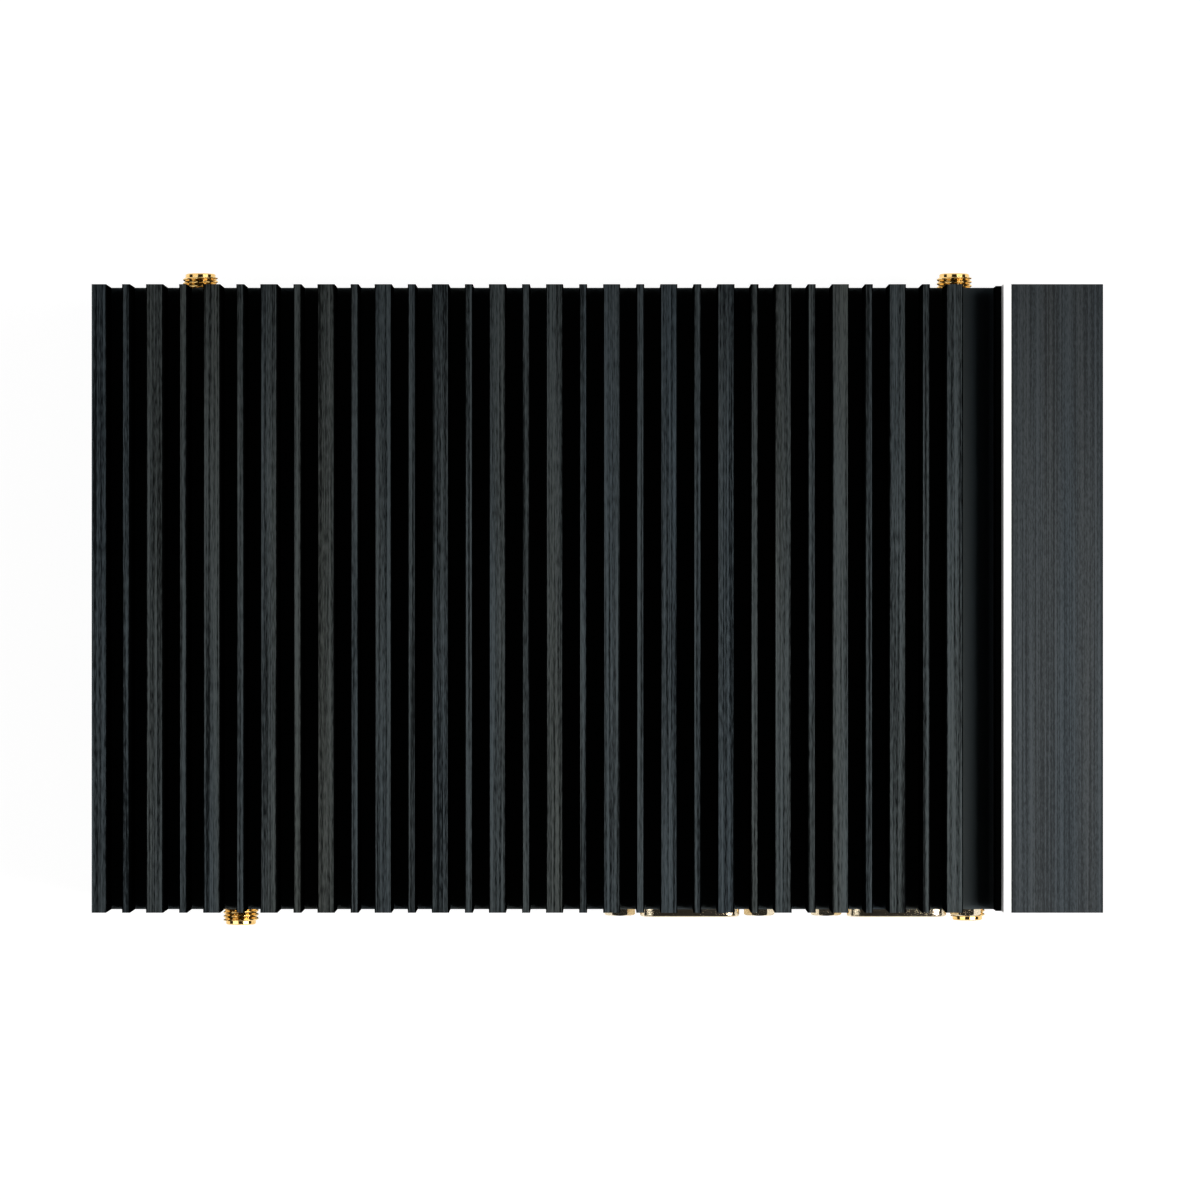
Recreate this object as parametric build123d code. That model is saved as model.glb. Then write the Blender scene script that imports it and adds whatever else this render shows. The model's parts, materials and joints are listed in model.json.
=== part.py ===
from build123d import *
import math
import os

# Fanless box computer. A finned aluminium heatsink is the roof and back wall of the case, a hollow
# bezel is its front, two recessed sheet panels carry the ports, and a flat cover closes it below.
# X runs from the back wall to the front bezel, Y from the serial side to the network side, Z is up.
# Sizes are millimetres. The origin lies under the middle of the case, on the plane the feet stand on.

# Heatsink section, from the back wall to the low lip beside the bezel
back_wall = 2.5
narrow_fin = 1.4
wide_fin = 3.0
fin_gap = 2.8
fin_pairs = 15
fin_height = 12.0
fin_edge = 0.2
front_valley = 6.1
lip_width = 1.0
lip_height = 6.0
base_thickness = 4.0
rail_size = 6.0

# Front bezel and the pale strip behind it
strip_width = 1.3
bezel_width = 16.1
bezel_wall = 2.0
bezel_edge = 0.25
tongue_width = 7.0
tongue_thickness = 3.0
tongue_end_gap = 10.8
rib_depth = 2.5
rib_height = 3.0

# Case depth, panels, cover and feet
case_depth = 110.0
panel_recess = 3.0
panel_thickness = 1.2
panel_slack = 0.15
mouth_slack = 0.2
cover_thickness = 1.5
cover_inset = 0.3
foot_radius = 6.0
foot_height = 2.0
foot_inset = 12.0
mount_spacing = 75.0
mount_hole = 1.65
nut_body = 3.2
nut_flange = 4.0
nut_height = 3.0

# Screws: thread radius, the slack of a tapped hole and of a through hole, and the two heads
thread_radius = 1.5
tapped_slack = 0.05
through_slack = 0.2
head_radius = 2.75
head_height = 1.8
sunk_head_height = 1.3
panel_screw_grip = 8.0
cover_screw_grip = 4.5
tongue_screw_grip = 2.5
cover_screw_pitch = 30.0
tongue_screw_pitch = 32.0

# Boards and what holds them
under_board = 8.5
board_thickness = 1.6
board_margin = 1.4
board_end_gap = 2.3
post_width = 5.5
post_stud = 2.5
post_setback = 15.8
board_screw_grip = 5.0
post_inset = 10.0
post_front_inset = 10.7
post_gap = 4.75
notch_length = 8.0
notch_depth = 6.8
front_board_end_gap = 5.8
front_board_gap = 1.0
low_rib_rise = 10.0
high_rib_rise = 25.0

# Serial ports, nine-way, with their hex jackscrews
serial_pitch = 37.0
serial_from_bezel = 17.6
serial_flange_width = 30.8
serial_flange_height = 12.5
serial_flange_thickness = 0.8
serial_shroud_width = 17.8
serial_shroud_height = 9.2
serial_shroud_wall = 0.45
serial_shroud_corner = 2.6
serial_shroud_reach = 6.1
serial_lean = 10.0
serial_lift = 6.4
serial_body_width = 19.5
serial_body_depth = 10.0
serial_pin_radius = 0.5
serial_pin_pitch = 2.77
serial_row_pitch = 2.84
serial_pin_reach = 5.4
serial_pin_sink = 0.3
serial_flange_corner = 1.0
jackscrew_spacing = 25.0
jackscrew_width = 4.75
jackscrew_length = 4.8
jackscrew_edge = 1.2
jackscrew_thread = 1.42
jackscrew_bore_depth = 4.0
jackscrew_stud = 4.6
rivet_nut_radius = 2.4
rivet_nut_length = 4.0

# Antenna jacks
jack_thread = 3.175
jack_root = 2.75
jack_reach = 7.4
jack_pilot = 2.7
jack_pilot_length = 0.7
jack_flange = 3.95
jack_flange_thickness = 3.0
jack_tail_radius = 2.5
jack_tail = 8.0
jack_bore = 2.3
jack_bore_depth = 1.95
jack_edge = 0.2
jack_nut_width = 8.0
jack_nut_thickness = 2.0
jack_washer_radius = 4.4
jack_washer_thickness = 0.5
insulator_radius = 2.05
contact_radius = 0.65
contact_bore = 0.47
contact_sink = 0.3
contact_tail = 1.0
close_slack = 0.05

# Network, serial bus, video, power and audio ports
network_width = 16.0
network_height = 13.5
network_depth = 21.0
network_mouth_width = 11.8
network_mouth_height = 6.8
network_tab_width = 6.2
network_tab_height = 3.0
network_sill = 1.6
network_mouth_depth = 13.0
network_contact = 0.4
network_contact_pitch = 1.02
network_contact_length = 8.0
network_contact_count = 8
usb_width = 14.5
usb_level_height = 7.8
usb_depth = 17.5
usb_mouth_width = 12.5
usb_mouth_height = 5.1
usb_mouth_depth = 9.0
usb_tongue_width = 11.1
usb_tongue_thickness = 1.8
usb_tongue_length = 8.2
usb_tongue_rise = 1.0
video_depth = 12.0
video_wall = 0.5
video_mouth_depth = 8.0
video_tongue_thickness = 1.3
video_tongue_length = 6.8
video_a_width = 15.0
video_a_height = 5.6
video_a_corner = 2.0
video_b_width = 17.0
video_b_height = 6.2
video_b_corner = 2.4
video_tongue_side = 5.2
power_width = 9.0
power_height = 11.0
power_depth = 14.0
power_nose = 4.0
power_bore = 3.15
power_bore_depth = 9.5
power_pin = 1.25
power_pin_length = 8.5
audio_width = 6.6
audio_height = 6.2
audio_depth = 12.0
audio_nose = 2.9
audio_bore = 1.8
audio_bore_depth = 10.0
mouth_reach = 0.3
port_headroom = 0.8

# Places of the ports, from the back wall's inner face along X unless said otherwise
high_jack_drop = 6.0
side_jack_drop = 10.0
low_jack_rise = 6.0
first_jack_inset = 22.3
second_jack_inset = 4.1
third_jack_inset = 14.8
fourth_jack_inset = 7.1
power_inset = 32.0
power_to_video = 16.5
video_pitch = 19.0
video_to_network = 24.0
network_pitch = 17.5
network_to_usb = 17.0
usb_to_audio = 14.0
usb_inset = 46.0
usb_pitch = 20.0

# Places on the front face: height above the cover, and Y from the front board's ends
front_row_rise = 20.5
front_row_inset = 11.0
button_to_pipes = 20.0

# Power button, its switch, and the status lights on the front board
button_radius = 5.0
button_slack = 0.2
button_sink = 0.3
button_flange = 6.2
button_flange_thickness = 1.0
button_travel = 0.6
button_rest_gap = 0.1
button_stem = 2.0
switch_width = 6.0
switch_height = 3.5
plunger_radius = 1.7
plunger_above = 1.0
plunger_inside = 1.4
pipe_radius = 1.0
pipe_pitch = 6.0
led_size = 1.6
led_height = 0.8

# Processor, its heat path, and the parts on the mainboard
processor_width = 28.0
processor_height = 1.2
die_width = 14.0
die_height = 0.9
pad_width = 16.0
pad_thickness = 0.5
heat_block_width = 45.0
heat_block_screw_inset = 4.5
heat_block_screw_grip = 2.5
coil_width = 7.0
coil_height = 4.5
coil_pitch = 10.0
can_radius = 3.2
can_height = 8.0
can_pitch = 9.0
chip_height = 1.2
chip_gap = 14.0
chip_pitch = 22.0
near_chips = ((16.0, 12.0), (-14.0, 10.0))
far_chips = ((0.0, 9.0), (18.0, 7.0))
coil_row_y = 8.0
can_row_y = 11.0
processor_inset = 71.0
cell_radius = 10.0
cell_inset = 28.0
cell_y = -18.0
cell_height = 3.2
holder_wall = 1.5
holder_floor = 0.8

# Memory module and the two plug-in cards below the mainboard
memory_length = 67.6
memory_width = 30.0
memory_thickness = 1.2
memory_chip = 1.0
memory_socket_depth = 7.0
memory_socket_height = 4.8
memory_socket_overhang = 2.2
card_width = 22.0
card_thickness = 0.8
storage_length = 80.0
wireless_length = 30.0
card_socket_depth = 8.5
card_socket_height = 4.0
card_chip = 1.0
card_slot_depth = 4.0
card_post_radius = 2.4
card_screw_radius = 1.0
card_head_radius = 1.8
card_head_height = 0.7
slot_slack = 0.05
slot_level = 0.7
slot_end_wall = 1.0
board_edge_gap = 1.2
chip_end_gap = 6.0
chip_side_gap = 4.0
chip_row_gap = 2.0
chip_row_fill = 0.8
card_screw_sink = 0.4
memory_shift = 12.0
memory_y = -8.0
storage_inset = 132.0
storage_y = 17.0
wireless_inset = 146.0
wireless_y = -18.0

# Places along X
pair_pitch = narrow_fin + wide_fin + 2 * fin_gap
fin_field = fin_pairs * pair_pitch
sink_length = back_wall + fin_field + front_valley + lip_width
case_length = sink_length + strip_width + bezel_width
back = -case_length / 2
front = case_length / 2
bay_back = back + back_wall
sink_front = back + sink_length
bezel_back = sink_front + strip_width
bezel_cavity = sink_front + bezel_wall
bezel_upper_cavity = bezel_back + bezel_wall
front_inner = front - bezel_wall

# Places along Y
half_depth = case_depth / 2
panel_outer = half_depth - panel_recess
panel_inner = panel_outer - panel_thickness

# Places along Z
tallest_port = max(2 * usb_level_height, network_height, power_height, serial_lift + serial_flange_height / 2)
cover_top = foot_height + cover_thickness
board_bottom = cover_top + under_board
board_top = board_bottom + board_thickness
bay_top = board_top + tallest_port + port_headroom
base_top = bay_top + base_thickness
case_top = base_top + fin_height
bezel_ceiling = case_top - bezel_wall

# Port positions: X along the sides, heights above the feet
serial_x = (sink_front - serial_from_bezel - serial_pitch, sink_front - serial_from_bezel)
serial_z = board_top + serial_lift
high_jack_z = bay_top - high_jack_drop
side_jack_z = bay_top - side_jack_drop
low_jack_z = cover_top + low_jack_rise
serial_side_jacks = ((bay_back + first_jack_inset, high_jack_z), (sink_front - second_jack_inset, low_jack_z))
port_side_jacks = ((bay_back + third_jack_inset, side_jack_z), (sink_front - fourth_jack_inset, side_jack_z))
power_x = bay_back + power_inset
video_a_x = power_x + power_to_video
video_b_x = video_a_x + video_pitch
network_x = (video_b_x + video_to_network, video_b_x + video_to_network + network_pitch)
port_side_usb_x = network_x[1] + network_to_usb
audio_x = port_side_usb_x + usb_to_audio
serial_side_usb_x = (bay_back + usb_inset, bay_back + usb_inset + usb_pitch)

# Front face: Y along the bezel, all on one line
front_board_half = panel_inner - front_board_end_gap
front_row_z = cover_top + front_row_rise
button_y = -front_board_half + front_row_inset
pipe_y = button_y + button_to_pipes
outer_usb_y = front_board_half - front_row_inset
front_board_screw_y = outer_usb_y - usb_pitch / 2
front_usb_y = (outer_usb_y - usb_pitch, outer_usb_y)

# Board places
board_back = bay_back + board_margin
board_front = sink_front - board_margin
board_half = panel_inner - board_end_gap
post_row = panel_inner - post_setback
back_post_x = bay_back + post_inset
front_post_x = board_front - post_front_inset
serial_side_post_x = serial_side_usb_x[1] + usb_width / 2 + post_gap
port_side_post_x = network_x[0] - network_width / 2 - post_gap
processor_x = bay_back + processor_inset
front_board_x = bezel_cavity + rib_depth
front_board_low = cover_top + rail_size + front_board_gap
front_board_high = bezel_ceiling - rail_size - front_board_gap
rib_z = (cover_top + low_rib_rise, cover_top + high_rib_rise)
rail_x = bay_back + rail_size / 2
bezel_rail_x = bezel_cavity + rail_size / 2


# Building helpers
def block(x0, x1, y0, y1, z0, z1):
    middle = Pos((x0 + x1) / 2, (y0 + y1) / 2, (z0 + z1) / 2)
    return middle * Box(x1 - x0, y1 - y0, z1 - z0)


def area(x0, x1, z0, z1):
    # A rectangle in the plane of the extruded sections, seen from the serial side
    return Pos((x0 + x1) / 2, (z0 + z1) / 2) * Rectangle(x1 - x0, z1 - z0)


def drawn_section(section, half_length):
    # Sections are drawn flat and stand up in XZ, then run both ways along Y
    return extrude(Plane.XZ * section, amount=half_length, both=True)


def turned(profile):
    # A body of revolution about local Z from (radius, height) points
    points = [(radius, 0, height) for radius, height in profile]
    return revolve(make_face(Polyline(*points, close=True)), Axis.Z)


def peg(radius, z0, z1):
    return turned([(0, z0), (radius, z0), (radius, z1), (0, z1)])


def ring(inner, outer, z0, z1):
    return turned([(inner, z0), (outer, z0), (outer, z1), (inner, z1)])


def prism(outline, z0, z1):
    return Pos(0, 0, z0) * extrude(outline, amount=z1 - z0)


def hexagon(width):
    return RegularPolygon(width / 2, 6, major_radius=False)


def pan_screw(grip):
    # Head stands on z = 0, shank runs down by the grip
    edge = 0.5
    return turned([
        (0, -grip), (thread_radius, -grip), (thread_radius, 0), (head_radius, 0),
        (head_radius, head_height - edge), (head_radius - edge, head_height), (0, head_height),
    ])


def sunk_screw(grip):
    # Head lies flush with z = 0, shank runs down by the grip below the cone
    return turned([
        (0, -sunk_head_height - grip), (thread_radius, -sunk_head_height - grip),
        (thread_radius, -sunk_head_height), (head_radius, 0), (0, 0),
    ])


def sunk_seat(depth):
    # The hole that the countersunk screw fills, cone first
    hole = thread_radius + through_slack
    return turned([
        (0, -depth), (hole, -depth), (hole, -sunk_head_height),
        (head_radius + tapped_slack, 0), (0, 0),
    ])


def through_serial_side(x, z):
    # Frame of a port: x across, y up, z outward, origin on the panel's inner face
    return Pos(x, -panel_inner, z) * Rot(90, 0, 0)


def through_port_side(x, z):
    return Pos(x, panel_inner, z) * Rot(0, 0, 180) * Rot(90, 0, 0)


def through_front(y, z):
    return Pos(front_inner, y, z) * Rot(0, 0, 90) * Rot(90, 0, 0)


def group(pieces):
    return Compound(children=list(pieces))


# Sections and outlines
def fin_section(x0, width):
    points = [
        (x0, base_top), (x0, case_top - fin_edge), (x0 + fin_edge, case_top),
        (x0 + width - fin_edge, case_top), (x0 + width, case_top - fin_edge), (x0 + width, base_top),
    ]
    return make_face(Polyline(*points, close=True))


def panel_outline(slack):
    low = cover_top + slack
    points = [
        (bay_back + slack, low), (front_inner - slack, low),
        (front_inner - slack, bezel_ceiling - slack), (bezel_upper_cavity + slack, bezel_ceiling - slack),
        (bezel_upper_cavity + slack, bay_top - slack), (bay_back + slack, bay_top - slack),
    ]
    return make_face(Polyline(*points, close=True))


def serial_outline(grow):
    # The D-shaped shroud: leaning sides and round corners, with its stated width across the corners
    half_height = serial_shroud_height / 2 + grow
    corner = serial_shroud_corner + grow
    lean = math.radians(serial_lean)
    rounded_off = corner * (math.tan(lean) + 1 / math.cos(lean) - 1)
    top = serial_shroud_width / 2 + grow + rounded_off
    bottom = top - 2 * half_height * math.tan(lean)
    points = [(-top, half_height), (-bottom, -half_height), (bottom, -half_height), (top, half_height)]
    outline = make_face(Polyline(*points, close=True))
    return fillet(outline.vertices(), corner)


def video_outline(width, height, corner, both_corners, grow):
    half = width / 2 + grow
    up = height / 2 + grow
    right = [(half, -up + corner), (half, up)]
    foot = [(half - corner, -up)] if both_corners else [(half, -up)]
    points = [(-half, up), (-half, -up + corner), (-half + corner, -up)] + foot
    points = points + (right if both_corners else right[1:])
    return make_face(Polyline(*points, close=True))


def video_a_outline(grow):
    return video_outline(video_a_width, video_a_height, video_a_corner, True, grow)


def video_b_outline(grow):
    return video_outline(video_b_width, video_b_height, video_b_corner, False, grow)


def box_outline(width, height, grow):
    return Rectangle(width + 2 * grow, height + 2 * grow)


# Where each port looks out, with the outline that its wall is cut to
usb_stack_z = board_top + usb_level_height
network_z = board_top + network_height / 2
video_a_z = board_top + video_a_height / 2
video_b_z = board_top + video_b_height / 2
power_z = board_top + power_height / 2
audio_z = board_top + audio_height / 2

panel_screw_places = (
    (rail_x, cover_top + rail_size / 2),
    (rail_x, bay_top - rail_size / 2),
    (bezel_rail_x, cover_top + rail_size / 2),
    (bezel_upper_cavity + rail_size / 2, bezel_ceiling - rail_size / 2),
)


def panel_pocket():
    # The step at each end of the case that the panels drop into
    run = panel_recess + panel_thickness
    near = drawn_section(panel_outline(0), run / 2)
    offset_y = panel_inner + run / 2
    return [Pos(0, side * offset_y, 0) * near for side in (-1, 1)]


def panel_screw_holes():
    bar = peg(thread_radius + tapped_slack, -panel_screw_grip, 0)
    holes = []
    for x, z in panel_screw_places:
        holes.append(through_serial_side(x, z) * bar)
        holes.append(through_port_side(x, z) * bar)
    return holes


def cover_screw_places():
    return [(x, side * cover_screw_pitch) for x in (rail_x, bezel_rail_x) for side in (-1, 0, 1)]


def cover_screw_holes():
    bar = peg(thread_radius + tapped_slack, 0, cover_screw_grip + cover_thickness)
    return [Pos(x, y, cover_top) * bar for x, y in cover_screw_places()]


def tongue_screw_places():
    x = sink_front - tongue_width / 2
    return [(x, side * tongue_screw_pitch) for side in (-1, 0, 1)]


def post_places():
    # The middle post of each side stands clear of the ports beside it
    serial_side = [(x, -post_row) for x in (back_post_x, serial_side_post_x, front_post_x)]
    port_side = [(x, post_row) for x in (back_post_x, port_side_post_x, front_post_x)]
    return serial_side + port_side


def heat_block_screw_places():
    reach = heat_block_width / 2 - heat_block_screw_inset
    return [(processor_x + sx * reach, sy * reach) for sx in (-1, 1) for sy in (-1, 1)]


# Case pieces
def make_heatsink():
    section = Sketch() + area(back, sink_front, bay_top, base_top)
    section += area(back, bay_back, cover_top, case_top)
    section += area(bay_back, bay_back + rail_size, cover_top, cover_top + rail_size)
    section += area(bay_back, bay_back + rail_size, bay_top - rail_size, bay_top)
    section += area(sink_front - lip_width, sink_front, base_top, base_top + lip_height)
    for pair in range(fin_pairs):
        narrow_x = bay_back + fin_gap + pair * pair_pitch
        section += fin_section(narrow_x, narrow_fin)
        section += fin_section(narrow_x + narrow_fin + fin_gap, wide_fin)
    body = drawn_section(section, half_depth)
    body -= panel_pocket()
    body -= panel_screw_holes()
    body -= cover_screw_holes()
    stud_hole = peg(thread_radius + tapped_slack, 0, post_stud + tapped_slack)
    body -= [Pos(x, y, bay_top) * stud_hole for x, y in post_places()]
    body -= [Pos(x, y, bay_top) * stud_hole for x, y in heat_block_screw_places()]
    body -= [Pos(x, y, bay_top) * stud_hole for x, y in tongue_screw_places()]
    return body


def make_front_bezel():
    section = Sketch() + area(sink_front, bezel_cavity, cover_top, base_top)
    section += area(sink_front, bezel_upper_cavity, base_top - bezel_wall, base_top)
    section += area(bezel_back, bezel_upper_cavity, base_top - bezel_wall, case_top)
    section += area(bezel_back, front, bezel_ceiling, case_top)
    section += area(front_inner, front, cover_top, case_top)
    section += area(bezel_cavity, bezel_cavity + rail_size, cover_top, cover_top + rail_size)
    upper_rail = bezel_upper_cavity + rail_size
    section += area(bezel_upper_cavity, upper_rail, bezel_ceiling - rail_size, bezel_ceiling)
    for z in rib_z:
        section += area(bezel_cavity, front_board_x, z - rib_height / 2, z + rib_height / 2)
    top_corners = section.vertices().filter_by(lambda corner: corner.Y > case_top - bezel_edge)
    section = chamfer(top_corners, bezel_edge)
    body = drawn_section(section, half_depth)
    tongue = area(sink_front - tongue_width, sink_front, bay_top - tongue_thickness, bay_top)
    body += drawn_section(tongue, panel_inner - tongue_end_gap)
    body -= panel_pocket()
    body -= panel_screw_holes()
    body -= cover_screw_holes()
    tongue_hole = peg(thread_radius + through_slack, -tongue_thickness, 0)
    body -= [Pos(x, y, bay_top) * tongue_hole for x, y in tongue_screw_places()]
    wall = bezel_wall * 1.5
    body -= through_front(button_y, front_row_z) * peg(button_radius + button_slack, -wall, wall)
    for y in front_usb_y:
        mouth = prism(box_outline(usb_width, usb_level_height, mouth_slack), -wall, wall)
        body -= through_front(y, front_row_z) * mouth
    for place in pipe_places():
        body -= place * peg(pipe_radius + tapped_slack, -wall, wall)
    screw_hole = peg(thread_radius + tapped_slack, -rib_depth - bezel_wall / 2, 0)
    for place in front_board_screw_frames():
        body -= place * screw_hole
    return body


def make_accent_strip():
    return block(sink_front, bezel_back, -half_depth, half_depth, base_top, case_top)


def cut_panel(frame, mouths):
    panel = frame(0, 0) * prism(panel_face(frame), 0, panel_thickness)
    for x, z, outline in mouths:
        panel -= frame(x, z) * prism(outline, -panel_thickness, 2 * panel_thickness)
    screw = Circle(thread_radius + through_slack)
    for x, z in panel_screw_places:
        panel -= frame(x, z) * prism(screw, -panel_thickness, 2 * panel_thickness)
    return panel


def panel_face(frame):
    # The far panel is seen from its own outside, so its outline turns about
    outline = panel_outline(panel_slack)
    return outline if frame is through_serial_side else mirror(outline, about=Plane.YZ)


def make_serial_side_panel():
    mouths = [(x, serial_z, serial_outline(mouth_slack)) for x in serial_x]
    screw = Circle(jackscrew_thread + through_slack)
    for x in serial_x:
        mouths += [(x + side * jackscrew_spacing / 2, serial_z, screw) for side in (-1, 1)]
    stack = box_outline(usb_width, 2 * usb_level_height, mouth_slack)
    mouths += [(x, usb_stack_z, stack) for x in serial_side_usb_x]
    mouths += [(x, z, Circle(jack_thread + mouth_slack)) for x, z in serial_side_jacks]
    return cut_panel(through_serial_side, mouths)


def make_port_side_panel():
    mouths = [(x, network_z, box_outline(network_width, network_height, mouth_slack)) for x in network_x]
    stack = box_outline(usb_width, 2 * usb_level_height, mouth_slack)
    mouths.append((port_side_usb_x, usb_stack_z, stack))
    mouths.append((video_a_x, video_a_z, video_a_outline(mouth_slack)))
    mouths.append((video_b_x, video_b_z, video_b_outline(mouth_slack)))
    mouths.append((power_x, power_z, Circle(power_nose + mouth_slack)))
    mouths.append((audio_x, audio_z, Circle(audio_nose + mouth_slack)))
    mouths += [(x, z, Circle(jack_thread + mouth_slack)) for x, z in port_side_jacks]
    return cut_panel(through_port_side, mouths)


def foot_places():
    x = case_length / 2 - foot_inset
    y = half_depth - foot_inset
    return [(sx * x, sy * y) for sx in (-1, 1) for sy in (-1, 1)]


def mount_places():
    reach = mount_spacing / 2
    return [(sx * reach, sy * reach) for sx in (-1, 1) for sy in (-1, 1)]


def make_bottom_cover():
    half_length = case_length / 2 - cover_inset
    half_width = half_depth - cover_inset
    plate = block(-half_length, half_length, -half_width, half_width, foot_height, cover_top)
    seat = Rot(180, 0, 0) * sunk_seat(cover_thickness)
    plate -= [Pos(x, y, foot_height) * seat for x, y in cover_screw_places()]
    nut_hole = peg(nut_body + tapped_slack, 0, cover_thickness)
    plate -= [Pos(x, y, foot_height) * nut_hole for x, y in mount_places()]
    return plate


def make_mount_nuts():
    nut = turned([
        (mount_hole, 0), (nut_body, 0), (nut_body, cover_thickness), (nut_flange, cover_thickness),
        (nut_flange, cover_thickness + nut_height), (mount_hole, cover_thickness + nut_height),
    ])
    return group(Pos(x, y, foot_height) * nut for x, y in mount_places())


def make_rubber_feet():
    foot_edge = 0.5
    foot = turned([
        (0, 0), (foot_radius - foot_edge, 0), (foot_radius, foot_edge), (foot_radius, foot_height),
        (0, foot_height),
    ])
    return group(Pos(x, y, 0) * foot for x, y in foot_places())


def make_panel_screws():
    screw = Pos(0, 0, panel_thickness) * pan_screw(panel_thickness + panel_screw_grip - through_slack)
    frames = [through_serial_side, through_port_side]
    return group(frame(x, z) * screw for frame in frames for x, z in panel_screw_places)


def make_cover_screws():
    grip = cover_thickness - sunk_head_height + cover_screw_grip
    screw = Rot(180, 0, 0) * sunk_screw(grip)
    return group(Pos(x, y, foot_height) * screw for x, y in cover_screw_places())


def make_tongue_screws():
    screw = Rot(180, 0, 0) * pan_screw(tongue_thickness + tongue_screw_grip)
    z = bay_top - tongue_thickness
    return group(Pos(x, y, z) * screw for x, y in tongue_screw_places())


# Antenna jacks
def jack_frames():
    frames = [through_serial_side(x, z) for x, z in serial_side_jacks]
    return frames + [through_port_side(x, z) for x, z in port_side_jacks]


nut_face = panel_thickness + jack_washer_thickness + jack_nut_thickness
insulator_face = jack_reach - jack_bore_depth


def make_antenna_jacks():
    lining = insulator_radius + close_slack
    thread_end = jack_reach - jack_pilot_length
    jack = turned([
        (lining, -jack_tail), (jack_tail_radius, -jack_tail), (jack_tail_radius, -jack_flange_thickness),
        (jack_flange, -jack_flange_thickness), (jack_flange, 0), (jack_root, 0), (jack_root, nut_face),
        (jack_thread, nut_face), (jack_thread, thread_end), (jack_pilot, thread_end),
        (jack_pilot, jack_reach - jack_edge), (jack_pilot - jack_edge, jack_reach),
        (jack_bore, jack_reach), (jack_bore, insulator_face), (lining, insulator_face),
    ])
    return group(frame * jack for frame in jack_frames())


def make_antenna_washers():
    z = panel_thickness
    washer = ring(jack_thread + close_slack, jack_washer_radius, z, z + jack_washer_thickness)
    return group(frame * washer for frame in jack_frames())


def make_antenna_nuts():
    # The nut bites the thread, so its bore is the thread's root
    outline = hexagon(jack_nut_width) - Circle(jack_root + close_slack)
    nut = prism(outline, nut_face - jack_nut_thickness, nut_face)
    return group(frame * nut for frame in jack_frames())


def make_antenna_insulators():
    sleeve = ring(contact_radius + close_slack, insulator_radius, -jack_tail, insulator_face)
    return group(frame * sleeve for frame in jack_frames())


def make_antenna_contacts():
    tip = jack_reach - contact_sink
    tail = -jack_tail - contact_tail
    pin = turned([
        (0, tail), (contact_radius, tail), (contact_radius, tip),
        (contact_bore, tip), (contact_bore, insulator_face), (0, insulator_face),
    ])
    return group(frame * pin for frame in jack_frames())


# Serial ports
def serial_frames():
    return [through_serial_side(x, serial_z) for x in serial_x]


def serial_pin_places():
    # Five pins over four, as seen from outside
    top = [((column - 2) * serial_pin_pitch, serial_row_pitch / 2) for column in range(5)]
    low = [((column - 1.5) * serial_pin_pitch, -serial_row_pitch / 2) for column in range(4)]
    return top + low


def make_serial_shells():
    flange = Rectangle(serial_flange_width, serial_flange_height)
    flange = fillet(flange.vertices(), serial_flange_corner)
    shell = prism(flange, -serial_flange_thickness, 0)
    shell += prism(serial_outline(0), 0, serial_shroud_reach)
    for side in (-1, 1):
        rivet = peg(rivet_nut_radius, -serial_flange_thickness - rivet_nut_length, -serial_flange_thickness)
        shell += Pos(side * jackscrew_spacing / 2, 0, 0) * rivet
    shell -= prism(serial_outline(-serial_shroud_wall), -serial_flange_thickness, serial_shroud_reach)
    for side in (-1, 1):
        bore = peg(jackscrew_thread + tapped_slack, -serial_flange_thickness - rivet_nut_length, 0)
        shell -= Pos(side * jackscrew_spacing / 2, 0, 0) * bore
    return group(frame * shell for frame in serial_frames())


def make_serial_inserts():
    face = serial_shroud_reach - serial_pin_reach - serial_pin_sink
    tongue = prism(serial_outline(-serial_shroud_wall - close_slack), -serial_flange_thickness, face)
    height = serial_lift + serial_flange_height / 2
    body = Pos(0, serial_flange_height / 2 - height / 2) * Rectangle(serial_body_width, height)
    rear = -serial_flange_thickness - serial_body_depth
    insert = prism(body, rear, -serial_flange_thickness) + tongue
    bore = peg(serial_pin_radius + close_slack, -serial_flange_thickness, face)
    insert -= [Pos(x, y, 0) * bore for x, y in serial_pin_places()]
    return group(frame * insert for frame in serial_frames())


def make_serial_pins():
    tip = serial_shroud_reach - serial_pin_sink
    edge = serial_pin_radius / 2
    pin = turned([
        (0, -serial_flange_thickness), (serial_pin_radius, -serial_flange_thickness),
        (serial_pin_radius, tip - edge), (serial_pin_radius - edge, tip), (0, tip),
    ])
    return group(frame * Pos(x, y, 0) * pin for frame in serial_frames() for x, y in serial_pin_places())


def make_jackscrews():
    base = panel_thickness
    tip = base + jackscrew_length
    screw = prism(hexagon(jackscrew_width), base, tip)
    edge = Pos(0, 0, base) * turned([
        (0, 0), (jackscrew_width, 0), (jackscrew_width, jackscrew_length - jackscrew_edge),
        (jackscrew_width / 2, jackscrew_length), (0, jackscrew_length),
    ])
    screw = screw & edge
    screw -= peg(jackscrew_thread, tip - jackscrew_bore_depth, tip)
    screw += peg(jackscrew_thread, base - jackscrew_stud, base)
    offsets = [side * jackscrew_spacing / 2 for side in (-1, 1)]
    return group(frame * Pos(x, 0, 0) * screw for frame in serial_frames() for x in offsets)


# Network, serial bus and video ports
out_face = panel_thickness + mouth_reach


def make_network_ports():
    body = prism(Rectangle(network_width, network_height), out_face - network_depth, out_face)
    mouth_y = -network_height / 2 + network_sill + network_tab_height + network_mouth_height / 2
    mouth = Pos(0, mouth_y) * Rectangle(network_mouth_width, network_mouth_height)
    tab_y = mouth_y - network_mouth_height / 2 - network_tab_height / 2
    mouth += Pos(0, tab_y) * Rectangle(network_tab_width, network_tab_height)
    body -= prism(mouth, out_face - network_mouth_depth, out_face)
    return group(through_port_side(x, network_z) * body for x in network_x)


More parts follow.
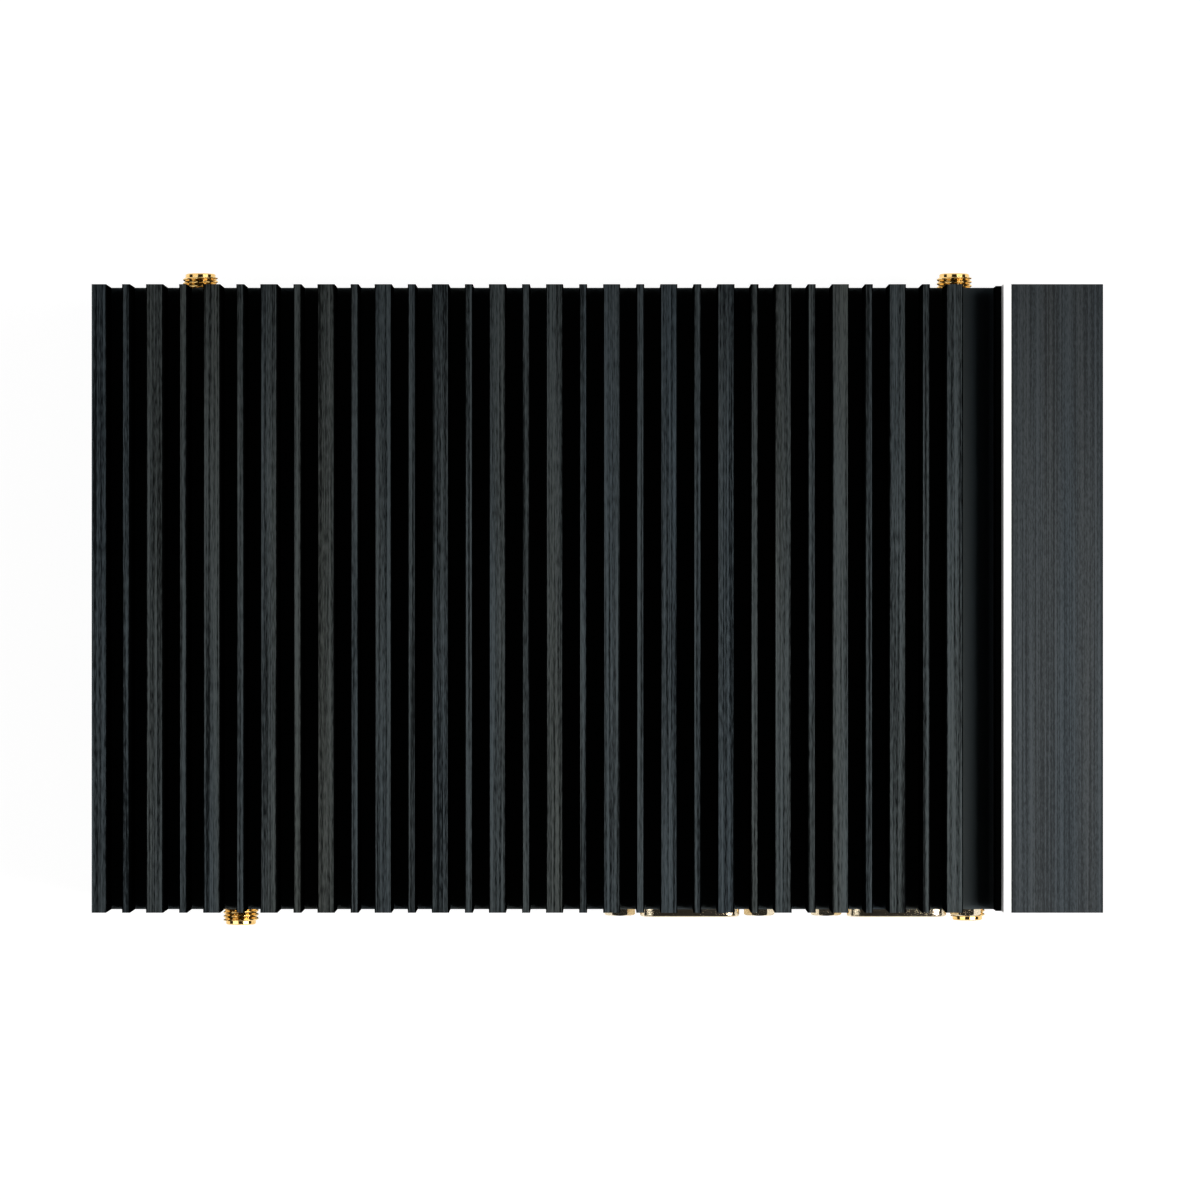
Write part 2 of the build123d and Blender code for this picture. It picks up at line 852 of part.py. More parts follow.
def make_network_contacts():
    roof = -network_height / 2 + network_sill + network_tab_height + network_mouth_height
    inner = out_face - network_mouth_depth
    wire = prism(Rectangle(network_contact, network_contact), inner, inner + network_contact_length)
    middle = (network_contact_count - 1) / 2
    offsets = [(number - middle) * network_contact_pitch for number in range(network_contact_count)]
    y = roof - network_contact / 2
    return group(through_port_side(x, network_z) * Pos(dx, y, 0) * wire for x in network_x for dx in offsets)


def usb_levels(count):
    return [(level - (count - 1) / 2) * usb_level_height for level in range(count)]


def usb_shell(levels, z0, z1):
    shell = prism(Rectangle(usb_width, levels * usb_level_height), z0, z1)
    for y in usb_levels(levels):
        mouth = Pos(0, y) * Rectangle(usb_mouth_width, usb_mouth_height)
        shell -= prism(mouth, z1 - usb_mouth_depth, z1)
    return shell


def usb_tongues(levels, z1):
    inner = z1 - usb_mouth_depth
    tongues = []
    for y in usb_levels(levels):
        tongue = Pos(0, y + usb_tongue_rise) * Rectangle(usb_tongue_width, usb_tongue_thickness)
        tongues.append(prism(tongue, inner, inner + usb_tongue_length))
    return tongues


def side_usb_frames():
    frames = [through_serial_side(x, usb_stack_z) for x in serial_side_usb_x]
    return frames + [through_port_side(port_side_usb_x, usb_stack_z)]


front_usb_face = bezel_wall - button_sink


def make_usb_shells():
    stack = usb_shell(2, out_face - usb_depth, out_face)
    shells = [frame * stack for frame in side_usb_frames()]
    board_face = front_board_x + board_thickness - front_inner
    single = usb_shell(1, board_face, front_usb_face)
    return group(shells + [through_front(y, front_row_z) * single for y in front_usb_y])


def make_usb_tongues():
    tongues = [frame * tongue for frame in side_usb_frames() for tongue in usb_tongues(2, out_face)]
    for y in front_usb_y:
        tongues += [through_front(y, front_row_z) * tongue for tongue in usb_tongues(1, front_usb_face)]
    return group(tongues)


def make_video_ports():
    shells = []
    ports = ((video_a_x, video_a_z, video_a_outline), (video_b_x, video_b_z, video_b_outline))
    for x, z, outline in ports:
        shell = prism(outline(0), out_face - video_depth, out_face)
        shell -= prism(outline(-video_wall), out_face - video_mouth_depth, out_face)
        shells.append(through_port_side(x, z) * shell)
    return group(shells)


def make_video_tongues():
    tongues = []
    inner = out_face - video_mouth_depth
    ports = ((video_a_x, video_a_z, video_a_width), (video_b_x, video_b_z, video_b_width))
    for x, z, width in ports:
        outline = Rectangle(width - video_tongue_side, video_tongue_thickness)
        tongue = prism(outline, inner, inner + video_tongue_length)
        tongues.append(through_port_side(x, z) * tongue)
    return group(tongues)


def nosed_jack(width, height, depth, nose, bore, bore_depth):
    # A moulded housing behind the panel with a round nose through it
    housing = prism(Rectangle(width, height), -depth, 0) + peg(nose, 0, out_face)
    return housing - peg(bore, out_face - bore_depth, out_face)


def make_power_inlet():
    inlet = nosed_jack(power_width, power_height, power_depth, power_nose, power_bore, power_bore_depth)
    return through_port_side(power_x, power_z) * inlet


def make_power_inlet_pin():
    inner = out_face - power_bore_depth
    return through_port_side(power_x, power_z) * peg(power_pin, inner, inner + power_pin_length)


def make_audio_jack():
    jack = nosed_jack(audio_width, audio_height, audio_depth, audio_nose, audio_bore, audio_bore_depth)
    return through_port_side(audio_x, audio_z) * jack


# Front board, power button and status lights
front_board_face = front_board_x + board_thickness
button_face = bezel_wall - button_sink
flange_face = -button_rest_gap
plunger_tip = front_board_face + switch_height + plunger_above - front_inner


def pipe_places():
    return [through_front(pipe_y + number * pipe_pitch, front_row_z) for number in (-1, 0, 1)]


def front_board_screw_frames():
    # Screw heads look forward off the board's face
    rows = (-front_board_screw_y, front_board_screw_y)
    return [Pos(front_board_x, y, z) * Rot(0, 90, 0) for y in rows for z in rib_z]


def make_front_board():
    board = block(front_board_x, front_board_face, -front_board_half, front_board_half,
                  front_board_low, front_board_high)
    hole = peg(thread_radius + through_slack, 0, board_thickness)
    return board - [frame * hole for frame in front_board_screw_frames()]


def make_front_board_screws():
    screw = Pos(0, 0, board_thickness) * pan_screw(board_thickness + rib_depth)
    return group(frame * screw for frame in front_board_screw_frames())


def make_power_button():
    flange_back = flange_face - button_flange_thickness
    button_edge = 0.4
    button = turned([
        (0, plunger_tip), (button_stem, plunger_tip), (button_stem, flange_back),
        (button_flange, flange_back), (button_flange, flange_face), (button_radius, flange_face),
        (button_radius, button_face - button_edge), (button_radius - button_edge, button_face),
        (0, button_face),
    ])
    return through_front(button_y, front_row_z) * button


def make_power_switch():
    low = front_board_face - front_inner
    body = prism(Rectangle(switch_width, switch_width), low, low + switch_height)
    well = plunger_inside + button_travel + button_rest_gap
    body -= peg(plunger_radius + close_slack, low + switch_height - well, low + switch_height)
    return through_front(button_y, front_row_z) * body


def make_switch_plunger():
    plunger = peg(plunger_radius, plunger_tip - plunger_above - plunger_inside, plunger_tip)
    return through_front(button_y, front_row_z) * plunger


def make_status_leds():
    low = front_board_face - front_inner
    led = prism(Rectangle(led_size, led_size), low, low + led_height)
    return group(place * led for place in pipe_places())


def make_light_pipes():
    low = front_board_face + led_height - front_inner
    pipe = peg(pipe_radius, low, button_face)
    return group(place * pipe for place in pipe_places())


# Mainboard and what stands on it
def make_mainboard():
    board = block(board_back, board_front, -board_half, board_half, board_bottom, board_top)
    board -= block(board_front - notch_length, board_front, -board_half, -board_half + notch_depth,
                   board_bottom, board_top)
    hole = peg(thread_radius + through_slack, board_bottom, board_top)
    return board - [Pos(x, y, 0) * hole for x, y in post_places()]


def make_board_posts():
    post = prism(hexagon(post_width), board_top, bay_top)
    post += peg(thread_radius, bay_top, bay_top + post_stud)
    post -= peg(thread_radius + tapped_slack, board_top, board_top + board_screw_grip + through_slack)
    return group(Pos(x, y, 0) * post for x, y in post_places())


def make_board_screws():
    screw = Rot(180, 0, 0) * pan_screw(board_thickness + board_screw_grip)
    return group(Pos(x, y, board_bottom) * screw for x, y in post_places())


package_top = board_top + processor_height
die_top = package_top + die_height
block_bottom = die_top + pad_thickness


def upright(outline, x, y, z0, z1):
    return Pos(x, y, 0) * prism(outline, z0, z1)


def make_processor():
    package = upright(Rectangle(processor_width, processor_width), processor_x, 0, board_top, package_top)
    return package + upright(Rectangle(die_width, die_width), processor_x, 0, package_top, die_top)


def make_thermal_pad():
    return upright(Rectangle(pad_width, pad_width), processor_x, 0, die_top, block_bottom)


def make_heat_block():
    outline = fillet(Rectangle(heat_block_width, heat_block_width).vertices(), 2.0)
    body = upright(outline, processor_x, 0, block_bottom, bay_top)
    hole = peg(thread_radius + through_slack, block_bottom, bay_top)
    seat = peg(head_radius + through_slack, block_bottom, block_bottom + head_height + through_slack)
    for x, y in heat_block_screw_places():
        body -= Pos(x, y, 0) * hole
        body -= Pos(x, y, 0) * seat
    return body


def make_heat_block_screws():
    seat = block_bottom + head_height + through_slack
    screw = Rot(180, 0, 0) * pan_screw(bay_top - seat + heat_block_screw_grip)
    return group(Pos(x, y, seat) * screw for x, y in heat_block_screw_places())


def make_power_coils():
    coil = fillet(Rectangle(coil_width, coil_width).vertices(), 1.0)
    x = processor_x - heat_block_width / 2 - coil_width
    rows = [coil_row_y + step * coil_pitch for step in (-1, 0, 1)]
    return group(upright(coil, x, y, board_top, board_top + coil_height) for y in rows)


def make_capacitors():
    x = processor_x - heat_block_width / 2 - 2 * coil_width - can_radius
    can = peg(can_radius, board_top, board_top + can_height)
    rows = [can_row_y + step * can_pitch for step in (-1, 0, 1)]
    return group(Pos(x, y, 0) * can for y in rows)


def make_controller_chips():
    # Each row is a line of (place along Y, width) for square chips
    near = processor_x + heat_block_width / 2 + chip_gap
    top = board_top + chip_height
    chips = []
    for x, row in ((near, near_chips), (near + chip_pitch, far_chips)):
        chips += [upright(Rectangle(width, width), x, y, board_top, top) for y, width in row]
    return group(chips)


cell_x = bay_back + cell_inset


def make_cell_holder():
    pocket = cell_radius + tapped_slack
    rim = board_top + holder_floor + cell_height * 0.8
    holder = turned([
        (0, board_top), (pocket + holder_wall, board_top), (pocket + holder_wall, rim), (pocket, rim),
        (pocket, board_top + holder_floor), (0, board_top + holder_floor),
    ])
    return Pos(cell_x, cell_y, 0) * holder


def make_coin_cell():
    low = board_top + holder_floor
    return Pos(cell_x, cell_y, 0) * peg(cell_radius, low, low + cell_height)


# Plug-in boards below the mainboard
def slotted_socket(width, depth, height, board, slot_depth):
    # Mouth looks along local -Y, top face on z = 0, slot in the lower half
    socket = block(-width / 2, width / 2, 0, depth, -height, 0)
    level = -height * slot_level
    half = board / 2 + slot_slack
    slot_half = width / 2 - slot_end_wall
    return socket - block(-slot_half, slot_half, 0, slot_depth, level - half, level + half)


def plug_board(width, length, board, chip, level, slot_depth, chip_rows):
    # Lies along local -Y with its edge in the socket, chips on its lower face
    low = level - board / 2
    half = width / 2 - board_edge_gap
    plate = block(-half, half, slot_depth - length, slot_depth - slot_slack, low, level + board / 2)
    chip_half = width / 2 - chip_side_gap
    pitch = (length - chip_end_gap - chip_row_gap) / chip_rows
    for row in range(chip_rows):
        y = slot_depth - chip_end_gap - row * pitch
        far = y - pitch * chip_row_fill
        plate += block(-chip_half, chip_half, far, y - chip_row_gap, low - chip, level)
    return plate


memory_place = Pos(processor_x + memory_shift, memory_y, board_bottom)
memory_level = -memory_socket_height * slot_level
storage_place = Pos(bay_back + storage_inset, storage_y, board_bottom) * Rot(0, 0, -90)
wireless_place = Pos(bay_back + wireless_inset, wireless_y, board_bottom) * Rot(0, 0, -90)
card_level = -card_socket_height * slot_level
memory_socket_width = memory_length + memory_socket_overhang


def make_memory_socket():
    depth = memory_socket_depth
    height = memory_socket_height
    socket = slotted_socket(memory_socket_width, depth, height, memory_thickness, card_slot_depth)
    return memory_place * socket


def make_memory_module():
    module = plug_board(memory_length, memory_width, memory_thickness, memory_chip, memory_level,
                        card_slot_depth, 2)
    return memory_place * module


def card_places():
    return ((storage_place, storage_length), (wireless_place, wireless_length))


def make_card_sockets():
    depth = card_socket_depth
    socket = slotted_socket(card_width, depth, card_socket_height, card_thickness, card_slot_depth)
    return group(place * socket for place, length in card_places())


def make_plug_card(place, length, chip_rows):
    card = plug_board(card_width, length, card_thickness, card_chip, card_level, card_slot_depth, chip_rows)
    hole = peg(card_screw_radius + tapped_slack, card_level - card_thickness, card_level + card_thickness)
    return place * (card - Pos(0, card_far(length), 0) * hole)


def card_far(length):
    return card_slot_depth - length + card_post_radius


def make_storage_card():
    return make_plug_card(storage_place, storage_length, 3)


def make_wireless_card():
    return make_plug_card(wireless_place, wireless_length, 1)


def make_card_posts():
    low = card_level + card_thickness / 2
    post = ring(card_screw_radius + tapped_slack, card_post_radius, low, 0)
    return group(place * Pos(0, card_far(length), 0) * post for place, length in card_places())


def make_card_screws():
    head = card_level - card_thickness / 2
    screw = turned([
        (0, head - card_head_height), (card_head_radius, head - card_head_height), (card_head_radius, head),
        (card_screw_radius, head), (card_screw_radius, -card_screw_sink), (0, -card_screw_sink),
    ])
    return group(place * Pos(0, card_far(length), 0) * screw for place, length in card_places())


makers = {
    "heatsink": make_heatsink,
    "front_bezel": make_front_bezel,
    "accent_strip": make_accent_strip,
    "serial_side_panel": make_serial_side_panel,
    "port_side_panel": make_port_side_panel,
    "bottom_cover": make_bottom_cover,
    "mount_nuts": make_mount_nuts,
    "rubber_feet": make_rubber_feet,
    "panel_screws": make_panel_screws,
    "cover_screws": make_cover_screws,
    "tongue_screws": make_tongue_screws,
    "antenna_jacks": make_antenna_jacks,
    "antenna_washers": make_antenna_washers,
    "antenna_nuts": make_antenna_nuts,
    "antenna_insulators": make_antenna_insulators,
    "antenna_contacts": make_antenna_contacts,
    "serial_shells": make_serial_shells,
    "serial_inserts": make_serial_inserts,
    "serial_pins": make_serial_pins,
    "jackscrews": make_jackscrews,
    "network_ports": make_network_ports,
    "network_contacts": make_network_contacts,
    "usb_shells": make_usb_shells,
    "usb_tongues": make_usb_tongues,
    "video_ports": make_video_ports,
    "video_tongues": make_video_tongues,
    "power_inlet": make_power_inlet,
    "power_inlet_pin": make_power_inlet_pin,
    "audio_jack": make_audio_jack,
    "front_board": make_front_board,
    "front_board_screws": make_front_board_screws,
    "power_button": make_power_button,
    "power_switch": make_power_switch,
    "switch_plunger": make_switch_plunger,
    "status_leds": make_status_leds,
    "light_pipes": make_light_pipes,
    "mainboard": make_mainboard,
    "board_posts": make_board_posts,
    "board_screws": make_board_screws,
    "processor": make_processor,
    "thermal_pad": make_thermal_pad,
    "heat_block": make_heat_block,
    "heat_block_screws": make_heat_block_screws,
    "power_coils": make_power_coils,
    "capacitors": make_capacitors,
    "controller_chips": make_controller_chips,
    "cell_holder": make_cell_holder,
    "coin_cell": make_coin_cell,
    "memory_socket": make_memory_socket,
    "memory_module": make_memory_module,
    "card_sockets": make_card_sockets,
    "storage_card": make_storage_card,
    "wireless_card": make_wireless_card,
    "card_posts": make_card_posts,
    "card_screws": make_card_screws,
}

os.makedirs("parts", exist_ok=True)
for name, make in makers.items():
    export_step(make(), f"parts/{name}.step")
    print("built", name)
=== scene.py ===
import bmesh
import bpy
import json
import math
from mathutils import Matrix, Vector


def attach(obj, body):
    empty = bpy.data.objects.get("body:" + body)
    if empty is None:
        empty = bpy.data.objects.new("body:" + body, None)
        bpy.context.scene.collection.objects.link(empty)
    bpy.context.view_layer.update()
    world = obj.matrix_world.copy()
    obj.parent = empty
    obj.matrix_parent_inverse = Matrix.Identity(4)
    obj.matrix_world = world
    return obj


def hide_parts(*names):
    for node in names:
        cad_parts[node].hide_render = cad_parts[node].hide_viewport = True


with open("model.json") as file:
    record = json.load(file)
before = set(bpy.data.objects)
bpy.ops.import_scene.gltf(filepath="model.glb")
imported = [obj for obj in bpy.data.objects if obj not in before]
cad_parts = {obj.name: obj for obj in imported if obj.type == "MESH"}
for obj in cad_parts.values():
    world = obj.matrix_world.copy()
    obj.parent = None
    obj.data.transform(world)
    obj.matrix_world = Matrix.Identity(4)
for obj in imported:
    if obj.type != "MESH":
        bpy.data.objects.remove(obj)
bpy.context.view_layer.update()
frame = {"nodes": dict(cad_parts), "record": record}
nodes = frame["nodes"]
mm = 0.001
print("stage: frame loaded")


# Detail and shift of each noise, so that no two finishes share a pattern
grains = {"tint": (2.0, 0.0), "fine": (2.0, 3.0), "long": (2.0, 7.0), "sawn": (3.0, 11.0),
          "metal": (5.0, 2.0), "plain": (4.0, 5.0), "rings": (3.0, 4.0)}
grainLook = {"roughness": 0.55, "shiftWay": (1.0, 1.7, 0.6)}
noiseRange = (0.3, 0.7)  # nearly all of a noise lies between these
facingLeast = 0.7  # a face counts as looking along an axis from here on


# Building helpers for materials
def startMaterial(name):
    material = bpy.data.materials.new(name)
    material.use_nodes = True
    tree = material.node_tree
    shader = tree.nodes["Principled BSDF"]
    coords = tree.nodes.new("ShaderNodeTexCoord")
    return material, tree, shader, coords.outputs["Object"]


def setInput(tree, socket, value):
    if isinstance(value, bpy.types.NodeSocket):
        tree.links.new(value, socket)
    else:
        socket.default_value = value


def workOut(tree, operation, first, second=0.0):
    made = tree.nodes.new("ShaderNodeMath")
    made.operation = operation
    setInput(tree, made.inputs[0], first)
    setInput(tree, made.inputs[1], second)
    return made.outputs[0]


def splitAxes(tree, vector):
    split = tree.nodes.new("ShaderNodeSeparateXYZ")
    tree.links.new(vector, split.inputs[0])
    return split.outputs


def facing(tree, axis):
    # 1 where the surface looks along that axis, 0 elsewhere
    geometry = tree.nodes.new("ShaderNodeNewGeometry")
    along = splitAxes(tree, geometry.outputs["True Normal"])[axis]
    return workOut(tree, "GREATER_THAN", workOut(tree, "ABSOLUTE", along), facingLeast)


def grain(tree, coords, kind, cell):
    # cell is the size of one grain in millimetres along X, Y and Z
    detail, shift = grains[kind]
    mapping = tree.nodes.new("ShaderNodeMapping")
    mapping.inputs["Scale"].default_value = [1 / (side * mm) for side in cell]
    mapping.inputs["Location"].default_value = [shift * way for way in grainLook["shiftWay"]]
    tree.links.new(coords, mapping.inputs["Vector"])
    noise = tree.nodes.new("ShaderNodeTexNoise")
    noise.inputs["Scale"].default_value = 1.0
    noise.inputs["Detail"].default_value = detail
    noise.inputs["Roughness"].default_value = grainLook["roughness"]
    tree.links.new(mapping.outputs["Vector"], noise.inputs["Vector"])
    return noise.outputs[0]


def spread(tree, value, low, high, source=noiseRange):
    # Stretches the source range to low and high
    made = tree.nodes.new("ShaderNodeMapRange")
    made.clamp = True
    for socket, number in zip(made.inputs[1:5], (*source, low, high)):
        socket.default_value = number
    tree.links.new(value, made.inputs[0])
    return made.outputs[0]


def byMask(tree, mask, outside, inside):
    return spread(tree, mask, outside, inside, (0.0, 1.0))


def mixValue(tree, factor, first, second):
    made = tree.nodes.new("ShaderNodeMix")
    for socket, value in ((made.inputs[0], factor), (made.inputs[2], first), (made.inputs[3], second)):
        setInput(tree, socket, value)
    return made.outputs[0]


def mottleColour(tree, noise, first, second):
    # The first tone where the noise is low, the second where it is high
    made = tree.nodes.new("ShaderNodeMix")
    made.data_type = "RGBA"
    tree.links.new(spread(tree, noise, 0.0, 1.0), made.inputs[0])
    for socket, colour in ((made.inputs[6], first), (made.inputs[7], second)):
        socket.default_value = (*colour, 1.0)
    return made.outputs[2]


def scaleColour(tree, colour, factor):
    made = tree.nodes.new("ShaderNodeVectorMath")
    made.operation = "SCALE"
    setInput(tree, made.inputs[0], colour)
    setInput(tree, made.inputs["Scale"], factor)
    return made.outputs[0]


def addBump(tree, shader, height, depth):
    bump = tree.nodes.new("ShaderNodeBump")
    bump.inputs["Strength"].default_value = 1.0
    bump.inputs["Distance"].default_value = depth * mm
    tree.links.new(height, bump.inputs["Height"])
    tree.links.new(bump.outputs["Normal"], shader.inputs["Normal"])


# Brushed black anodising: streaks along Y, sawn lines across the ends
anodisedLooks = {
    "heatsinkAnodised": {
        "blue": (0.022, 0.028, 0.032), "olive": (0.029, 0.032, 0.030), "tintCell": (9.0, 260.0, 30.0),
        "fineCell": (0.19, 2.0, 0.19), "longCell": (0.34, 70.0, 0.34), "contrast": (0.18, 1.98),
        "roughness": (0.31, 0.41), "bump": 0.006, "metal": 0.92, "specular": 0.0,
        # The floor share is painted light: level faces below the fins' tops are lightened by it
        "backFace": -88.3, "topLevel": 45.0, "floorLevel": 35.0, "paintedFloorLight": 1.8,
    },
    "bezelAnodised": {
        "blue": (0.026, 0.033, 0.038), "olive": (0.031, 0.034, 0.035), "tintCell": (7.0, 300.0, 30.0),
        "fineCell": (0.18, 0.9, 0.18), "longCell": (0.32, 110.0, 0.32), "contrast": (0.55, 1.50),
        "roughness": (0.32, 0.40), "bump": 0.004, "metal": 0.92, "specular": 0.5,
    },
}
# The wall share is painted shade: the heatsink's inner walls and lip keep only this share of their colour
brushing = {"fineShare": 0.38, "longShare": 0.62, "sawnCell": (40.0, 1.0, 0.25), "range": (0.40, 0.60),
            "plain": 0.5, "paintedShadeFactor": 0.05, "anisotropy": 0.92}


def brushedPattern(tree, coords, look):
    fine = grain(tree, coords, "fine", look["fineCell"])
    long = grain(tree, coords, "long", look["longCell"])
    streak = workOut(tree, "ADD", workOut(tree, "MULTIPLY", fine, brushing["fineShare"]),
                     workOut(tree, "MULTIPLY", long, brushing["longShare"]))
    sawn = grain(tree, coords, "sawn", brushing["sawnCell"])
    return mixValue(tree, facing(tree, "Y"), streak, sawn)


def innerFaces(tree, coords, look):
    # Masks of the heatsink: level faces below the fins' tops, lightened there as painted light, and the
    # inner walls and lip, darkened there as painted shade
    place = splitAxes(tree, coords)
    below = workOut(tree, "GREATER_THAN", look["topLevel"] * mm, place["Z"])
    level = workOut(tree, "MULTIPLY", facing(tree, "Z"), below)
    raised = workOut(tree, "GREATER_THAN", place["Z"], look["floorLevel"] * mm)
    lip = workOut(tree, "MULTIPLY", level, raised)
    inner = workOut(tree, "GREATER_THAN", place["X"], look["backFace"] * mm)
    paintedShadeWalls = workOut(tree, "MULTIPLY", facing(tree, "X"), inner)
    return level, workOut(tree, "MAXIMUM", paintedShadeWalls, lip)


def makeAnodised(name, look):
    material, tree, shader, coords = startMaterial(name)
    tint = grain(tree, coords, "tint", look["tintCell"])
    colour = mottleColour(tree, tint, look["blue"], look["olive"])
    pattern = brushedPattern(tree, coords, look)
    shader.inputs["Metallic"].default_value = look["metal"]
    shader.inputs["Specular IOR Level"].default_value = look["specular"]
    if "backFace" in look:
        # Brushing reaches the fins' tops and the outer back face: the valleys' floors are plain satin.
        # Painted light lightens the floors below the fins' tops, painted shade darkens the inner walls and
        # lip nearly to black
        level, paintedShade = innerFaces(tree, coords, look)
        # Painted shade darkens the inner walls and lip, painted light lightens the floors below the fins'
        # tops
        shade = workOut(tree, "MULTIPLY", byMask(tree, paintedShade, 1.0, brushing["paintedShadeFactor"]),
                        byMask(tree, level, 1.0, look["paintedFloorLight"]))
        colour = scaleColour(tree, colour, shade)
        pattern = mixValue(tree, level, pattern, brushing["plain"])
        tree.links.new(byMask(tree, paintedShade, look["metal"], 0.0), shader.inputs["Metallic"])
    low, high = look["contrast"]
    shaded = scaleColour(tree, colour, spread(tree, pattern, low, high, brushing["range"]))
    tree.links.new(shaded, shader.inputs["Base Color"])
    # Brushing along Y spreads the light across X
    across = tree.nodes.new("ShaderNodeCombineXYZ")
    across.inputs["X"].default_value = 1.0
    tree.links.new(across.outputs[0], shader.inputs["Tangent"])
    shader.inputs["Anisotropic"].default_value = brushing["anisotropy"]
    smooth, rough = look["roughness"]
    tree.links.new(spread(tree, pattern, rough, smooth), shader.inputs["Roughness"])
    addBump(tree, shader, pattern, look["bump"])
    return material


# Plated and bare metals: mottled colour, fine scratches
metalLooks = {
    "nickelPlate": {"colour": (0.78, 0.76, 0.71), "dark": (0.68, 0.66, 0.61), "cell": (0.6, 0.6, 0.6),
                    "roughness": (0.22, 0.30), "bump": 0.002},
    "yellowZinc": {"colour": (0.96, 0.83, 0.60), "dark": (0.62, 0.52, 0.36), "cell": (0.30, 0.30, 0.30),
                   "roughness": (0.07, 0.20), "bump": 0.034},
    "goldPlate": {"colour": (1.00, 0.71, 0.29), "dark": (0.84, 0.52, 0.17), "cell": (1.2, 0.5, 1.2),
                  "roughness": (0.08, 0.15), "bump": 0.002},
    "zincPlate": {"colour": (0.62, 0.63, 0.64), "dark": (0.42, 0.43, 0.43), "cell": (0.7, 0.7, 0.7),
                  "roughness": (0.28, 0.45), "bump": 0.006},
    "bareAluminium": {"colour": (0.78, 0.79, 0.80), "dark": (0.60, 0.61, 0.62), "cell": (0.3, 6.0, 0.3),
                      "roughness": (0.30, 0.46), "bump": 0.008},
    "blackOxide": {"colour": (0.060, 0.060, 0.064), "dark": (0.028, 0.028, 0.030),
                   "cell": (0.4, 0.4, 0.4), "roughness": (0.30, 0.48), "bump": 0.006},
}


def makeMetal(name, look):
    material, tree, shader, coords = startMaterial(name)
    mottle = grain(tree, coords, "metal", look["cell"])
    colour = mottleColour(tree, mottle, look["dark"], look["colour"])
    tree.links.new(colour, shader.inputs["Base Color"])
    shader.inputs["Metallic"].default_value = 1.0
    smooth, rough = look["roughness"]
    tree.links.new(spread(tree, mottle, rough, smooth), shader.inputs["Roughness"])
    addBump(tree, shader, mottle, look["bump"])
    return material


# Painted sheet, plastics, rubber and boards: a body colour, a second tone and a fine relief
plainLooks = {
    "powderCoat": {"colour": (0.016, 0.016, 0.017), "second": (0.026, 0.026, 0.027), "cell": 0.35,
                   "roughness": (0.42, 0.60), "bump": 0.02},
    # The opal strip's glow is painted light, making its top and ends read white
    "opalPlastic": {"colour": (0.92, 0.92, 0.91), "second": (0.88, 0.88, 0.87), "cell": 3.0,
                    "roughness": (0.40, 0.50), "bump": 0.004, "glow": 1.0},
    "blackRubber": {"colour": (0.014, 0.014, 0.014), "second": (0.028, 0.027, 0.026), "cell": 0.5,
                    "roughness": (0.75, 0.92), "bump": 0.03},
    "whiteInsulator": {"colour": (0.82, 0.81, 0.77), "second": (0.74, 0.73, 0.68), "cell": 0.8,
                       "roughness": (0.40, 0.55), "bump": 0.004},
    "blackPlastic": {"colour": (0.014, 0.014, 0.015), "second": (0.024, 0.024, 0.025), "cell": 0.25,
                     "roughness": (0.34, 0.50), "bump": 0.008},
    "circuitGreen": {"colour": (0.006, 0.050, 0.024), "second": (0.010, 0.085, 0.040), "cell": 1.3,
                     "roughness": (0.28, 0.42), "bump": 0.010},
    "chipResin": {"colour": (0.018, 0.018, 0.019), "second": (0.034, 0.034, 0.035), "cell": 0.2,
                  "roughness": (0.48, 0.62), "bump": 0.006},
    "thermalGel": {"colour": (0.36, 0.44, 0.52), "second": (0.42, 0.50, 0.58), "cell": 0.8,
                   "roughness": (0.60, 0.75), "bump": 0.02},
    "ferrite": {"colour": (0.050, 0.050, 0.054), "second": (0.080, 0.080, 0.084), "cell": 0.3,
                "roughness": (0.55, 0.70), "bump": 0.02},
    "clearPlastic": {"colour": (0.86, 0.92, 0.90), "second": (0.80, 0.88, 0.86), "cell": 0.6,
                     "roughness": (0.10, 0.20), "bump": 0.003, "clear": 0.6},
    "greenWindow": {"colour": (0.10, 0.42, 0.14), "second": (0.08, 0.34, 0.11), "cell": 0.5,
                    "roughness": (0.15, 0.25), "bump": 0.003},
    "amberWindow": {"colour": (0.70, 0.34, 0.04), "second": (0.58, 0.27, 0.03), "cell": 0.5,
                    "roughness": (0.15, 0.25), "bump": 0.003},
}


def makePlain(name, look):
    material, tree, shader, coords = startMaterial(name)
    pattern = grain(tree, coords, "plain", [look["cell"]] * 3)
    colour = mottleColour(tree, pattern, look["colour"], look["second"])
    tree.links.new(colour, shader.inputs["Base Color"])
    smooth, rough = look["roughness"]
    tree.links.new(spread(tree, pattern, smooth, rough), shader.inputs["Roughness"])
    if "glow" in look:
        # Painted glow: the strip's top and its two ends shine white
        paintedGlowFaces = workOut(tree, "MAXIMUM", facing(tree, "Y"), facing(tree, "Z"))
        tree.links.new(scaleColour(tree, colour, paintedGlowFaces), shader.inputs["Emission Color"])
        shader.inputs["Emission Strength"].default_value = look["glow"]
    if "clear" in look:
        shader.inputs["Transmission Weight"].default_value = look["clear"]
    addBump(tree, shader, pattern, look["bump"])
    return material


# Push button: turned rings about its own axis
buttonLook = {"axisY": -34.0, "axisZ": 24.0, "ringCell": 0.30, "light": (0.66, 0.67, 0.68),
              "dark": (0.34, 0.35, 0.36), "roughness": (0.20, 0.36), "bump": 0.012}


